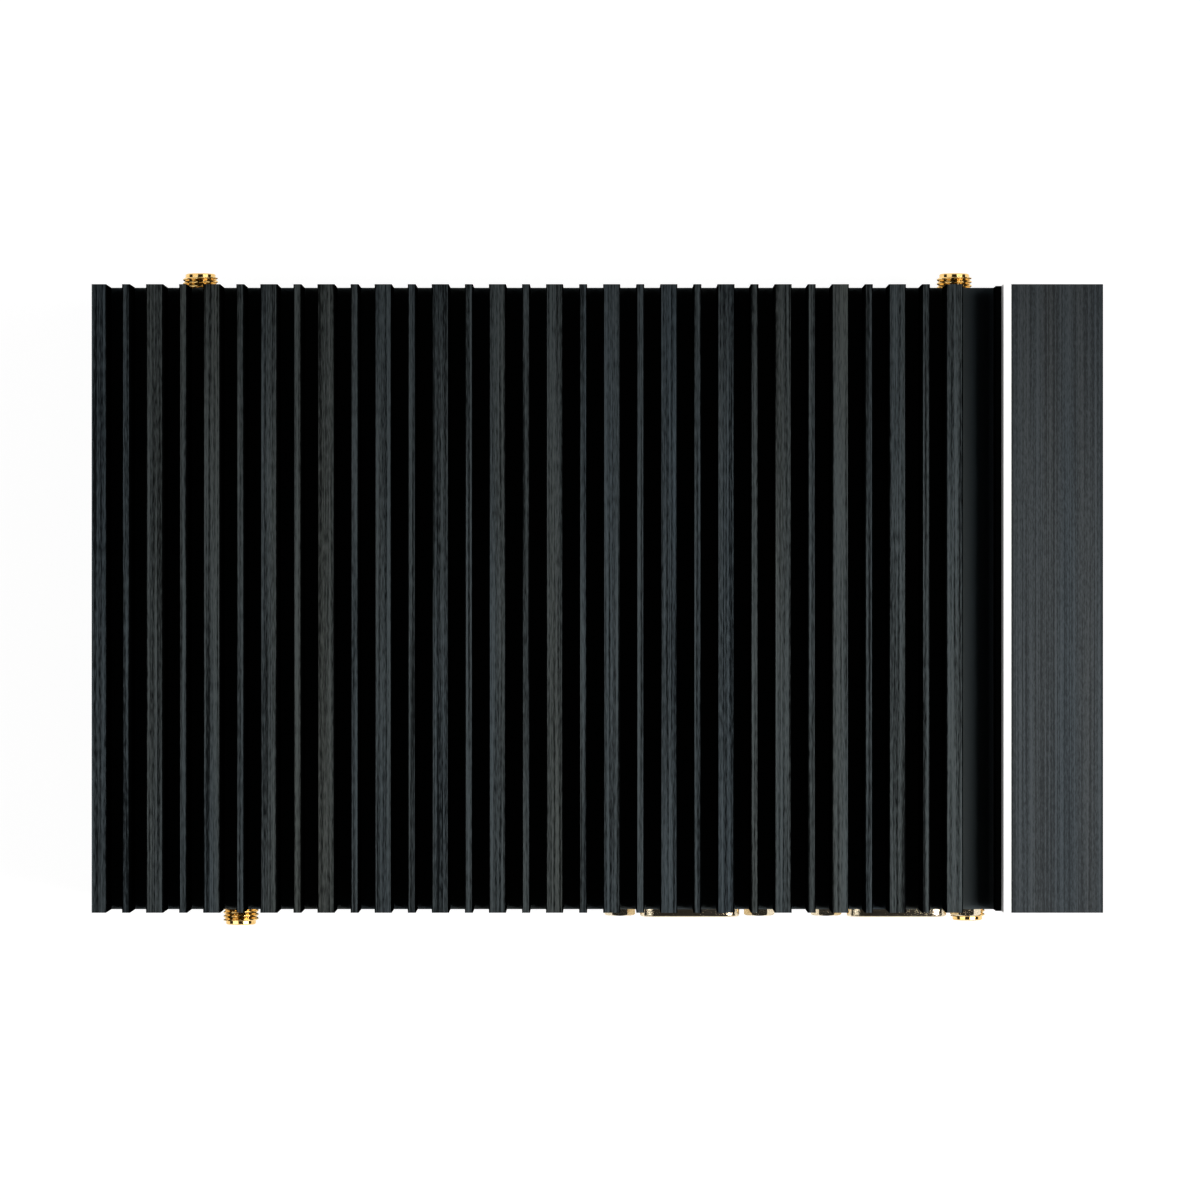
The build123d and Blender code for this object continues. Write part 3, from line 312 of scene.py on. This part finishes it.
def makeTurned(name, look):
    material, tree, shader, coords = startMaterial(name)
    place = splitAxes(tree, coords)
    across = workOut(tree, "SUBTRACT", place["Y"], look["axisY"] * mm)
    upward = workOut(tree, "SUBTRACT", place["Z"], look["axisZ"] * mm)
    square = workOut(tree, "ADD", workOut(tree, "POWER", across, 2.0), workOut(tree, "POWER", upward, 2.0))
    radial = tree.nodes.new("ShaderNodeCombineXYZ")
    tree.links.new(workOut(tree, "SQRT", square), radial.inputs["X"])
    rings = grain(tree, radial.outputs[0], "rings", [look["ringCell"]] * 3)
    colour = mottleColour(tree, rings, look["dark"], look["light"])
    tree.links.new(colour, shader.inputs["Base Color"])
    shader.inputs["Metallic"].default_value = 1.0
    smooth, rough = look["roughness"]
    tree.links.new(spread(tree, rings, smooth, rough), shader.inputs["Roughness"])
    addBump(tree, shader, rings, look["bump"])
    return material


materials = {name: makeAnodised(name, look) for name, look in anodisedLooks.items()}
materials.update({name: makeMetal(name, look) for name, look in metalLooks.items()})
materials.update({name: makePlain(name, look) for name, look in plainLooks.items()})
materials["buttonSteel"] = makeTurned("buttonSteel", buttonLook)
print("stage: materials made")

slotMaterials = {
    "black_anodised": "heatsinkAnodised", "opal_plastic": "opalPlastic", "black_sheet": "powderCoat",
    "black_screw": "blackOxide", "zinc_steel": "zincPlate", "nickel": "nickelPlate",
    "gold_plate": "goldPlate", "bare_aluminium": "bareAluminium", "black_rubber": "blackRubber",
    "white_insulator": "whiteInsulator", "black_plastic": "blackPlastic", "button_metal": "buttonSteel",
    "clear_plastic": "clearPlastic", "circuit_board": "circuitGreen", "chip_resin": "chipResin",
    "thermal_gel": "thermalGel", "ferrite": "ferrite",
}
nodeMaterials = {"front_bezel": "bezelAnodised", "jackscrews": "yellowZinc"}  # before the slot's


def dress(piece, materialName):
    piece.data.materials.clear()
    piece.data.materials.append(materials[materialName])


for part in frame["record"]["subparts"]:
    name = part["node"]
    dress(nodes[name], nodeMaterials.get(name, slotMaterials[part["material_slot"]]))
print("stage: materials on the frame's nodes")


# Faces of the case that the pieces are placed from, in millimetres
caseFaces = {"panelInner": 50.8, "frontInner": 86.5, "coverOuter": 2.0}


# Building helpers for pieces
def outward(side, x, z, out=0.0):
    # Local Z looks out of the case and local Y up: side -1 is the serial side, 1 the network side
    turn = Matrix.Rotation(math.pi / 2 * (1 + side), 4, "Z") @ Matrix.Rotation(math.pi / 2, 4, "X")
    return Matrix.Translation(Vector((x, side * (caseFaces["panelInner"] + out), z)) * mm) @ turn


def frontward(y, z, out=0.0):
    # Local Z looks out of the front, local Y up
    turn = Matrix.Rotation(math.pi / 2, 4, "Z") @ Matrix.Rotation(math.pi / 2, 4, "X")
    return Matrix.Translation(Vector((caseFaces["frontInner"] + out, y, z)) * mm) @ turn


def downward(x, y):
    # Local Z looks down out of the bottom cover
    turn = Matrix.Rotation(math.pi, 4, "X")
    return Matrix.Translation(Vector((x, y, caseFaces["coverOuter"])) * mm) @ turn


def addSkin(shape, rings, closed):
    # Faces from ring to ring: closed joins the last ring to the first, otherwise both ends get a lid
    following = rings[1:] + rings[:1] if closed else rings[1:]
    for lower, upper in zip(rings, following):
        for step in range(len(lower)):
            after = (step + 1) % len(lower)
            shape.faces.new((lower[step], lower[after], upper[after], upper[step]))
    if not closed:
        shape.faces.new(rings[0])
        shape.faces.new(rings[-1])


def plainRows(pairs, base=0.0):
    # Round rows of a profile, their heights measured from base
    return [(radius, base + height, None) for radius, height in pairs]


def lathe(shape, matrix, profile, segments, closed=True):
    # profile rows are (radius, height, swing); swing(angle, height) changes the radius, or is None
    rings = []
    for radius, height, swing in profile:
        ring = []
        for step in range(segments):
            angle = 2 * math.pi * step / segments
            reach = radius + (swing(angle, height) if swing else 0.0)
            point = Vector((reach * math.cos(angle), reach * math.sin(angle), height)) * mm
            ring.append(shape.verts.new(matrix @ point))
        rings.append(ring)
    addSkin(shape, rings, closed)


def finishPiece(shape, name, materialName, body, smoothAngle=35):
    mesh = bpy.data.meshes.new(name)
    bmesh.ops.recalc_face_normals(shape, faces=shape.faces)
    shape.to_mesh(mesh)
    shape.free()
    piece = bpy.data.objects.new(name, mesh)
    bpy.context.collection.objects.link(piece)
    dress(piece, materialName)
    mesh.polygons.foreach_set("use_smooth", [True] * len(mesh.polygons))
    mesh.set_sharp_from_angle(angle=math.radians(smoothAngle))
    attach(piece, body)
    return piece


# Antenna jacks with their real thread: places are (side, x, z), heights start at the panel's inner face
jackLook = {
    "places": ((-1, -63.7, 24.0), (-1, 67.0, 9.5), (1, -71.2, 20.0), (1, 64.0, 20.0)), "segments": 56,
    "tail": 2.5, "tailEnd": -8.0, "collar": 3.95, "collarBack": -3.0,
    "bore": 2.1, "mouth": 2.3, "mouthFloor": 5.45,
    "root": 2.75, "major": 3.175, "threadStart": 3.3, "threadEnd": 6.7, "pitch": 0.706,
    "threadDepth": 0.38, "flankSlope": 2.6, "rowsPerTurn": 8, "runout": (0.03, 0.08),
    "pilot": 2.7, "reach": 7.4, "chamfer": 0.16, "edge": 0.06,
}


def threadSwing(angle, height):
    phase = (height / jackLook["pitch"] - angle / (2 * math.pi)) % 1.0
    crest = min(1.0, abs(phase - 0.5) * jackLook["flankSlope"])
    return -jackLook["threadDepth"] * (1.0 - crest)


def jackProfile():
    tail, collar, bore, mouth, root = (jackLook[key] for key in ("tail", "collar", "bore", "mouth", "root"))
    start, end, reach = (jackLook[key] for key in ("threadStart", "threadEnd", "reach"))
    pilot, chamfer, edge = (jackLook[key] for key in ("pilot", "chamfer", "edge"))
    mouthFloor, tailEnd, collarBack = (jackLook[key] for key in ("mouthFloor", "tailEnd", "collarBack"))
    rows = plainRows([(mouth, mouthFloor), (bore, mouthFloor), (bore, tailEnd), (tail, tailEnd),
                      (tail, collarBack), (collar, collarBack), (collar, 0.0), (root, 0.0), (root, start)])
    count = int((end - start) / jackLook["pitch"] * jackLook["rowsPerTurn"])
    for row in range(count + 1):
        rows.append((jackLook["major"], start + (end - start) * row / count, threadSwing))
    rows += plainRows([(pilot, end + gap) for gap in jackLook["runout"]])
    rows += plainRows([(pilot, reach - chamfer - edge), (pilot, reach - chamfer), (pilot - chamfer, reach),
                       (pilot - chamfer - edge, reach), (mouth + 2 * edge, reach), (mouth + edge, reach),
                       (mouth, reach - edge)])
    return rows


shape = bmesh.new()
for side, x, z in jackLook["places"]:
    lathe(shape, outward(side, x, z), jackProfile(), jackLook["segments"])
threadedJacks = finishPiece(shape, "threadedJacks", "goldPlate", "case")
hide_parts("antenna_jacks")
print("stage: antenna jacks")


# Serial port hoods, drawn from sheet: a flange, a D-shaped shroud with a rolled rim, two clinch nuts
hoodLook = {
    "places": (16.5, 53.5), "z": 20.0, "cornerSteps": 8,
    "flangeSize": (30.8, 12.5), "flangeCorner": 1.0, "flange": 0.8,
    "shroudSize": (17.8, 9.2), "shroudCorner": 2.6, "lean": 10.0, "wall": 0.45, "reach": 6.1,
    "rim": 0.30, "rimSteps": 5,
    "nutPitch": 25.0, "nutRadius": 2.4, "nutBore": 1.47, "nutLength": 4.0, "nutSegments": 32,
}


def roundedRing(corners, radius):
    # Points round a four-cornered outline, the same number at each corner; corners go anticlockwise
    ring = []
    steps = hoodLook["cornerSteps"]
    for number, corner in enumerate(corners):
        before = (Vector(corners[number - 1]) - Vector(corner)).normalized()
        after = (Vector(corners[(number + 1) % 4]) - Vector(corner)).normalized()
        half = before.angle(after) / 2
        middle = Vector(corner) + (before + after).normalized() * (radius / math.sin(half))
        start = Vector((-before.y, before.x))
        for step in range(steps + 1):
            angle = (math.pi - 2 * half) * step / steps
            turned = Vector((start.x * math.cos(angle) - start.y * math.sin(angle),
                             start.x * math.sin(angle) + start.y * math.cos(angle)))
            ring.append(middle + turned * radius)
    return ring


def shroudRing(grow):
    width, height = hoodLook["shroudSize"]
    lean = math.radians(hoodLook["lean"])
    radius = hoodLook["shroudCorner"] + grow
    half = height / 2 + grow
    top = width / 2 + grow + radius * (math.tan(lean) + 1 / math.cos(lean) - 1)
    low = top - 2 * half * math.tan(lean)
    return roundedRing([(-low, -half), (low, -half), (top, half), (-top, half)], radius)


def flangeRing():
    x, y = (side / 2 for side in hoodLook["flangeSize"])
    return roundedRing([(-x, -y), (x, -y), (x, y), (-x, y)], hoodLook["flangeCorner"])


def hoodRows():
    # (ring, height) from the flange's back, out along the shroud, over the rim and back inside
    wall, reach, rim, back = (hoodLook[key] for key in ("wall", "reach", "rim", "flange"))
    rows = [(flangeRing(), -back), (flangeRing(), 0.0)]
    rows += [(shroudRing(0.0), 0.0), (shroudRing(0.0), reach - rim)]
    for step in range(1, hoodLook["rimSteps"] + 1):
        angle = math.pi / 2 * step / hoodLook["rimSteps"]
        rows.append((shroudRing(-rim * (1 - math.cos(angle))), reach - rim + rim * math.sin(angle)))
    return rows + [(shroudRing(-wall), reach), (shroudRing(-wall), -back)]


def nutProfile():
    outer, bore, face = hoodLook["nutRadius"], hoodLook["nutBore"], -hoodLook["flange"]
    deep = face - hoodLook["nutLength"]
    return plainRows([(bore, deep), (bore, face), (outer, face), (outer, deep)])


shape = bmesh.new()
for x in hoodLook["places"]:
    matrix = outward(-1, x, hoodLook["z"])
    rings = [[shape.verts.new(matrix @ (Vector((*point, height)) * mm)) for point in ring]
             for ring, height in hoodRows()]
    addSkin(shape, rings, closed=True)
    for hand in (-1, 1):
        nut = matrix @ Matrix.Translation((hand * hoodLook["nutPitch"] / 2 * mm, 0, 0))
        lathe(shape, nut, nutProfile(), hoodLook["nutSegments"])
serialHoods = finishPiece(shape, "serialHoods", "yellowZinc", "case", 40)
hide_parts("serial_shells")
print("stage: serial hoods")


# Screws with a star drive: eight in the panels, six countersunk in the cover
# Outlines are (radius, height over the seat); the seat stands off the face that places the screw
starLook = {"radius": 1.15, "lobes": 6, "lobeDepth": 0.20, "taper": 0.05, "segments": 48}
panelScrewLook = {
    "places": ((-83.0, 6.5), (-83.0, 27.0), (76.1, 6.5), (77.4, 41.0)), "seat": 1.2,
    "outline": ((1.2, -9.0), (1.5, -8.7), (1.5, 0.0), (2.75, 0.0), (2.75, 1.1), (2.62, 1.5),
                (2.3, 1.72), (1.85, 1.8)),
    "starEdge": 0.06, "starDepth": 1.1,
}
coverScrewLook = {
    "columns": (-83.0, 76.1), "rows": (-30.0, 0.0, 30.0), "seat": 0.0,
    "outline": ((1.2, -6.0), (1.5, -5.7), (1.5, -1.3), (2.68, -0.07), (2.6, 0.0)),
    "starEdge": 0.05, "starDepth": 0.8,
}


def starSwing(angle, height):
    return starLook["lobeDepth"] * math.cos(starLook["lobes"] * angle)


def screwProfile(look):
    radius, taper, edge = starLook["radius"], starLook["taper"], look["starEdge"]
    rows = plainRows(look["outline"], look["seat"])
    top = rows[-1][1]
    return rows + [(radius + edge, top, starSwing), (radius, top - edge, starSwing),
                   (radius - taper, top - look["starDepth"], starSwing)]


shape = bmesh.new()
for side in (-1, 1):
    for x, z in panelScrewLook["places"]:
        lathe(shape, outward(side, x, z), screwProfile(panelScrewLook), starLook["segments"], closed=False)
panelScrews = finishPiece(shape, "panelScrews", "blackOxide", "case")
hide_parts("panel_screws")

shape = bmesh.new()
for x in coverScrewLook["columns"]:
    for y in coverScrewLook["rows"]:
        lathe(shape, downward(x, y), screwProfile(coverScrewLook), starLook["segments"], closed=False)
coverScrews = finishPiece(shape, "coverScrews", "blackOxide", "case")
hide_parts("cover_screws")
print("stage: screws")


# Spring leaves and contacts inside the serial-bus mouths
usbLook = {
    "stacks": ((-1, -40.0), (-1, -20.0), (1, 40.0)), "levels": (0.5, 1.5), "levelHeight": 7.8,
    "boardTop": 13.6, "stackFace": 1.5, "frontPlaces": (14.0, 34.0), "frontRow": 24.0, "frontFace": 1.7,
    "mouthHeight": 5.1, "tongueRise": 1.0, "tongueThickness": 1.8,
    "contacts": 4, "contactPitch": 2.2, "contactSize": (1.0, 0.12, 6.6), "contactDrop": 0.04,
    "contactMiddle": -4.6,
}
leafLook = {"pitch": 5.2, "width": 1.7, "thickness": 0.2, "depth": 6.5, "faceGap": 0.5,
            "wallGap": 0.04, "bow": 0.55, "bowHurry": 1.15, "steps": 8}


def addBox(shape, matrix, size, place):
    # A box by its size and middle, in a port's own frame
    made = bmesh.ops.create_cube(shape, size=1.0)["verts"]
    spot = matrix @ Matrix.Translation(Vector(place) * mm)
    scale = Matrix.Diagonal((*[side * mm for side in size], 1.0))
    bmesh.ops.transform(shape, matrix=spot @ scale, verts=made)


def addLeaf(shape, matrix, x, wall, sign):
    # A bent spring leaf: leaves the wall deep in the mouth, bows inward and ends near the face
    half = leafLook["width"] / 2
    thick = sign * leafLook["thickness"]
    depth = leafLook["depth"]
    rings = []
    for step in range(leafLook["steps"] + 1):
        share = step / leafLook["steps"]
        bow = leafLook["bow"] * math.sin(math.pi * min(1.0, share * leafLook["bowHurry"])) ** 2
        y = wall - sign * (leafLook["wallGap"] + bow)
        z = -depth + share * (depth - leafLook["faceGap"])
        corners = ((x - half, y), (x + half, y), (x + half, y - thick), (x - half, y - thick))
        rings.append([shape.verts.new(matrix @ (Vector((*corner, z)) * mm)) for corner in corners])
    addSkin(shape, rings, closed=False)


def usbMouths():
    # One matrix for each mouth, at the middle of its face
    mouths = []
    for side, x in usbLook["stacks"]:
        for level in usbLook["levels"]:
            z = usbLook["boardTop"] + level * usbLook["levelHeight"]
            mouths.append(outward(side, x, z, usbLook["stackFace"]))
    for y in usbLook["frontPlaces"]:
        mouths.append(frontward(y, usbLook["frontRow"], usbLook["frontFace"]))
    return mouths


leaves = bmesh.new()
contacts = bmesh.new()
wall = usbLook["mouthHeight"] / 2
contactY = usbLook["tongueRise"] - usbLook["tongueThickness"] / 2 - usbLook["contactDrop"]
for mouth in usbMouths():
    for sign in (-1, 1):
        for column in (-0.5, 0.5):
            addLeaf(leaves, mouth, column * leafLook["pitch"], sign * wall, sign)
    for number in range(usbLook["contacts"]):
        x = (number - (usbLook["contacts"] - 1) / 2) * usbLook["contactPitch"]
        addBox(contacts, mouth, usbLook["contactSize"], (x, contactY, usbLook["contactMiddle"]))
finishPiece(leaves, "usbSprings", "nickelPlate", "case", 50)
finishPiece(contacts, "usbContacts", "goldPlate", "case")

# Light windows over the network mouths, green on one side and amber on the other
windowLook = {"ports": (5.5, 23.0), "z": 20.35, "face": 1.5, "x": 5.2, "y": 5.75, "sink": 0.2,
              "size": (2.9, 1.3, 0.5), "edge": 0.08, "edgeSteps": 2}
for name, materialName, hand in (("linkWindows", "greenWindow", -1), ("speedWindows", "amberWindow", 1)):
    shape = bmesh.new()
    for x in windowLook["ports"]:
        matrix = outward(1, x, windowLook["z"], windowLook["face"])
        place = (hand * windowLook["x"], windowLook["y"], -windowLook["sink"])
        addBox(shape, matrix, windowLook["size"], place)
    bmesh.ops.bevel(shape, geom=shape.edges[:], offset=windowLook["edge"] * mm,
                    segments=windowLook["edgeSteps"], affect="EDGES")
    finishPiece(shape, name, materialName, "case")
print("stage: port fittings")


# Rounded edges on the frame's own nodes, in millimetres
edgeRounding = {"heatsink": 0.11, "front_bezel": 0.10, "jackscrews": 0.10, "antenna_nuts": 0.10,
                "accent_strip": 0.10, "serial_side_panel": 0.12, "port_side_panel": 0.12,
                "bottom_cover": 0.2, "usb_shells": 0.10, "network_ports": 0.12, "video_ports": 0.10}
edgeLook = {"steps": 2, "leastAngle": 32}
for name, width in edgeRounding.items():
    bevel = nodes[name].modifiers.new("edge", "BEVEL")
    bevel.width = width * mm
    bevel.segments = edgeLook["steps"]
    bevel.limit_method = "ANGLE"
    bevel.angle_limit = math.radians(edgeLook["leastAngle"])
    bevel.harden_normals = True
print("stage: edges rounded")


# Floor: grey under the lamps, with a glow that only camera, gloss and glass see. The glow is just
# short of white, so the shadow still shows
floorLook = {"reach": 6.0, "diffuse": 0.34, "glow": 0.90}
reach = floorLook["reach"]
corners = [(-reach, -reach, 0), (reach, -reach, 0), (reach, reach, 0), (-reach, reach, 0)]
floorMesh = bpy.data.meshes.new("floor")
floorMesh.from_pydata(corners, [], [(0, 1, 2, 3)])
floor = bpy.data.objects.new("floor", floorMesh)
bpy.context.collection.objects.link(floor)
floorMaterial = bpy.data.materials.new("floorWhite")
floorMaterial.use_nodes = True
tree = floorMaterial.node_tree
shader = tree.nodes["Principled BSDF"]
shader.inputs["Base Color"].default_value = (floorLook["diffuse"],) * 3 + (1.0,)
shader.inputs["Roughness"].default_value = 1.0
shader.inputs["Specular IOR Level"].default_value = 0.0
shader.inputs["Emission Color"].default_value = (1.0, 1.0, 1.0, 1.0)
path = tree.nodes.new("ShaderNodeLightPath")
seen = workOut(tree, "MAXIMUM", path.outputs["Is Camera Ray"], path.outputs["Is Glossy Ray"])
seen = workOut(tree, "MAXIMUM", seen, path.outputs["Is Transmission Ray"])
tree.links.new(workOut(tree, "MULTIPLY", seen, floorLook["glow"]), shader.inputs["Emission Strength"])
floorMesh.materials.append(floorMaterial)

# Long soft lamps on both sides, aimed at the case's top; places are (side, middle Y, length, power)
lampLook = {"angle": 41.0, "distance": 1.25, "width": 0.94, "aimHeight": 0.046}
lampPlaces = {"leftLamp": (-1, -0.10, 0.38, 2.4), "rightLamp": (1, -0.10, 0.38, 7.2),
              "leftFill": (-1, 0.26, 0.30, 1.0), "rightFill": (1, 0.26, 0.30, 1.1)}


def addLamp(name, side, middle, length, power):
    lamp = bpy.data.lights.new(name, "AREA")
    lamp.shape = "RECTANGLE"
    lamp.size = lampLook["width"]
    lamp.size_y = length
    lamp.energy = power
    piece = bpy.data.objects.new(name, lamp)
    bpy.context.collection.objects.link(piece)
    angle = math.radians(lampLook["angle"]) * side
    place = Vector((math.sin(angle), 0, math.cos(angle))) * lampLook["distance"]
    piece.location = place + Vector((0, middle, lampLook["aimHeight"]))
    piece.rotation_euler = (0, angle, 0)


for name, place in lampPlaces.items():
    addLamp(name, *place)

# World: dark overhead, pale in a low band beyond the two long sides
worldLook = {"zenith": 0.020, "horizon": 0.9, "band": (0.40, 0.55), "fade": (0.15, 0.70)}
world = bpy.data.worlds.new("world")
world.use_nodes = True
tree = world.node_tree
background = tree.nodes["Background"]
background.inputs["Color"].default_value = (1.0, 1.0, 1.0, 1.0)
direction = tree.nodes.new("ShaderNodeTexCoord")
axes = splitAxes(tree, direction.outputs["Generated"])
band = spread(tree, axes["Z"], 1.0, 0.0, worldLook["band"])
glow = workOut(tree, "MULTIPLY", band, workOut(tree, "MULTIPLY", axes["Y"], axes["Y"]))
strength = spread(tree, glow, worldLook["zenith"], worldLook["horizon"], worldLook["fade"])
tree.links.new(strength, background.inputs["Strength"])
bpy.context.scene.world = world

# Camera straight above, in millimetres
cameraLook = {"place": (0.45, -0.27, 1076.0), "lens": 176.6, "sensor": 36.0, "farEnd": 20000.0}
lensData = bpy.data.cameras.new("camera")
lensData.lens = cameraLook["lens"]
lensData.sensor_width = cameraLook["sensor"]
lensData.clip_end = cameraLook["farEnd"] * mm
camera = bpy.data.objects.new("camera", lensData)
camera.location = Vector(cameraLook["place"]) * mm
bpy.context.collection.objects.link(camera)
scene = bpy.context.scene
scene.camera = camera
scene.view_settings.view_transform = "Standard"
print("stage: floor, lamps and camera")
